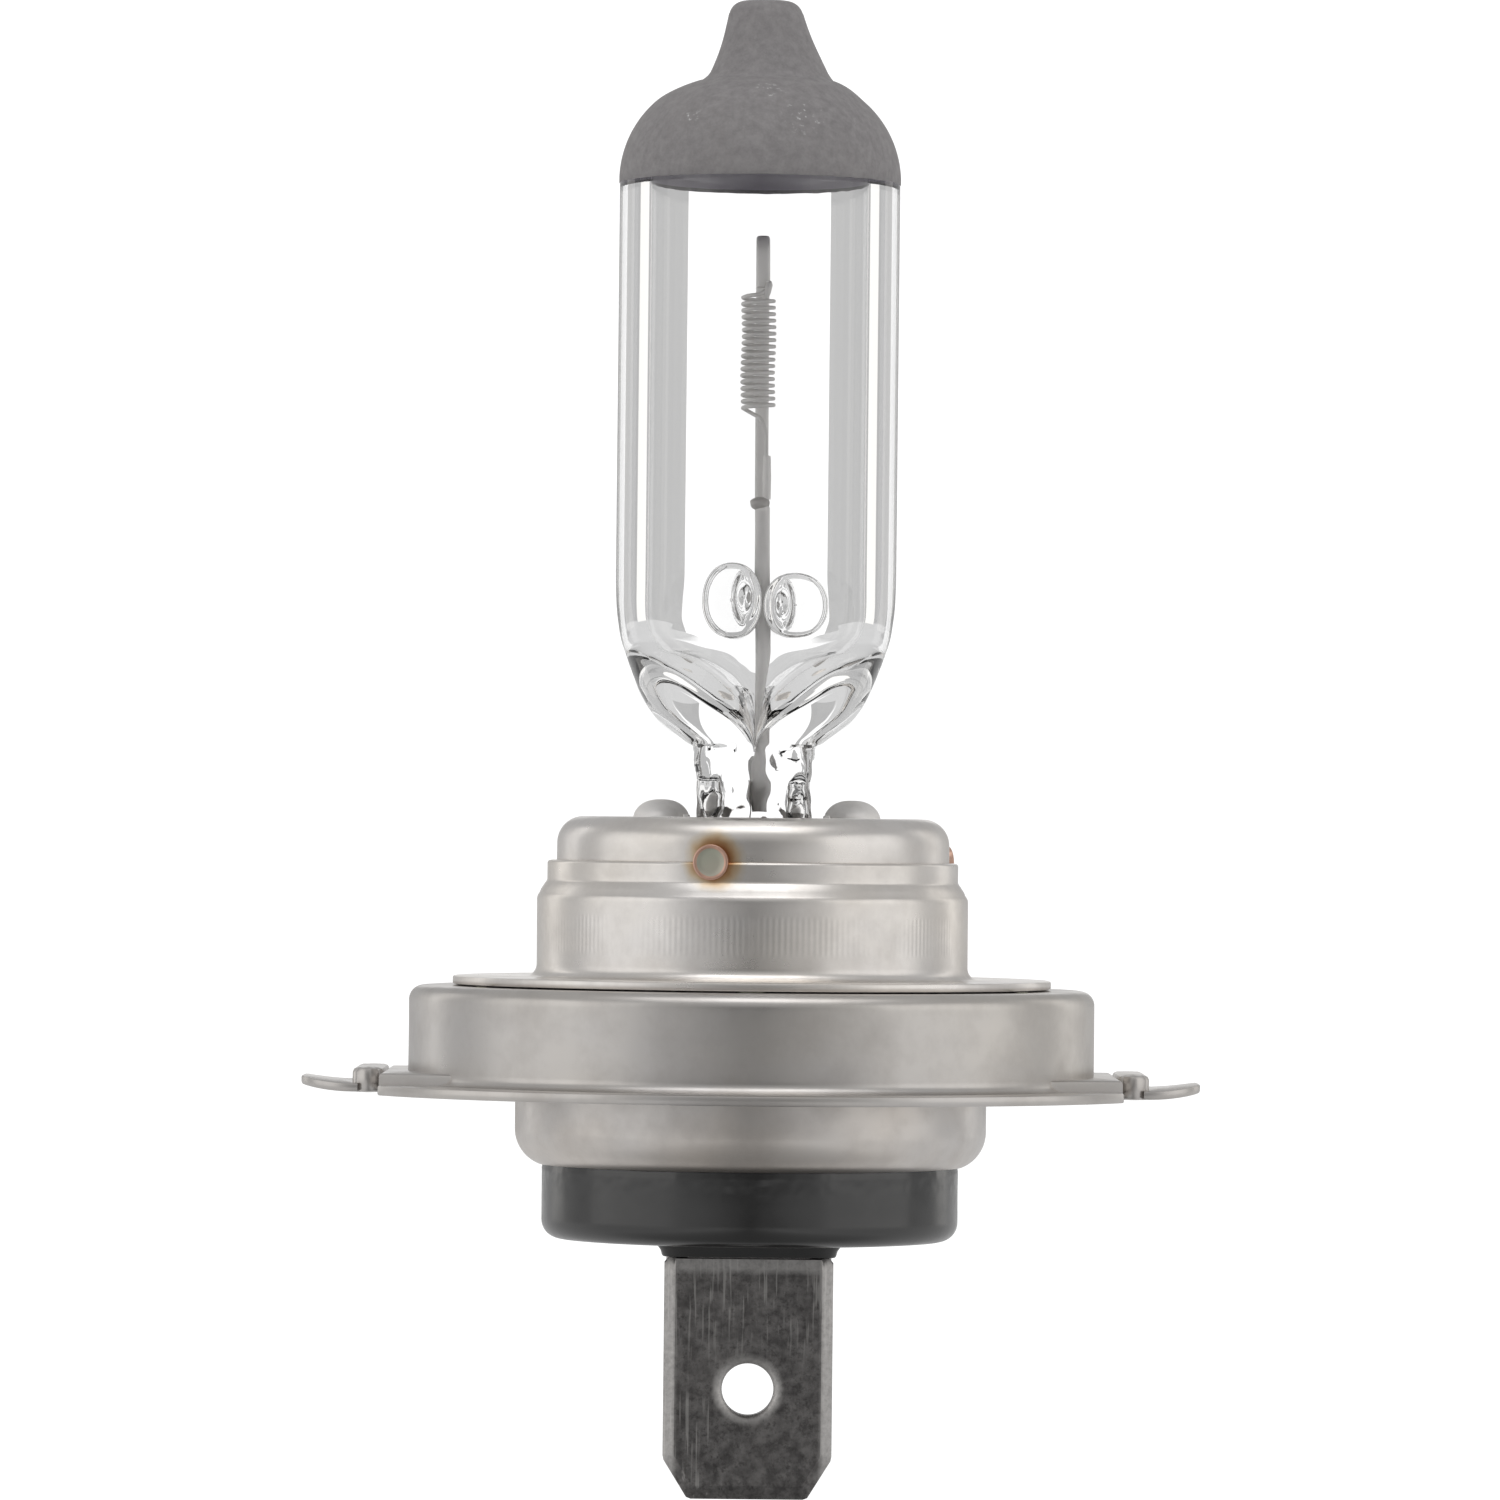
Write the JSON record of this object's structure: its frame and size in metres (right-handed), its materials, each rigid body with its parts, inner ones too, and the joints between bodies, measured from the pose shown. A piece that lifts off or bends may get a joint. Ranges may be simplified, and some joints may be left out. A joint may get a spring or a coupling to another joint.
{
  "type": "headlight bulb",
  "caption": "Halogen headlight bulb: clear quartz tube with a coated tip and a coiled filament, in a steel prefocus cap with side lugs and blade contacts.",
  "frame": {"origin": "on the lamp axis in the reference plane, the plane of the flat tops of the three bosses on the prefocus ring", "axes": "+Z along the lamp axis towards the glass tip; +X through the right-hand side lug; the two contact blades stand one behind the other along Y, with the rear lug at +Y"},
  "size_m": [0.0338, 0.0319, 0.0562],
  "materials": {
    "quartz": "clear fused quartz, fire polished",
    "coating": "matt grey opaque coating with a fine speckle",
    "tungsten": "drawn tungsten, dull grey",
    "molybdenum": "drawn molybdenum, satin",
    "stainless": "rolled stainless sheet, satin, warm grey",
    "weld_bead": "weld metal with a brown heat tint",
    "insulator": "dense dark grey insulating body, semi-gloss",
    "blade_metal": "plated sheet, dull and finely scratched"
  },
  "bodies": {
    "root": {"quartz_envelope": "quartz", "blackout_coating": "coating", "filament": "tungsten", "filament_tail_sleeve": "tungsten", "filament_weld": "weld_bead", "long_inner_lead": "molybdenum", "short_inner_lead": "molybdenum", "bridge_rod_left": "quartz", "bridge_rod_right": "quartz", "foil_front": "molybdenum", "foil_rear": "molybdenum", "outer_lead_front": "molybdenum", "outer_lead_rear": "molybdenum", "holder_cup": "stainless", "pinch_spring_left": "stainless", "pinch_spring_right": "stainless", "focus_sleeve": "stainless", "sleeve_weld_spots": "weld_bead", "flange_weld_spots": "weld_bead", "prefocus_ring": "stainless", "base_shell": "stainless", "shell_weld_spots": "weld_bead", "insulator": "insulator", "blade_front": "blade_metal", "blade_rear": "blade_metal"}
  },
  "joints": []
}
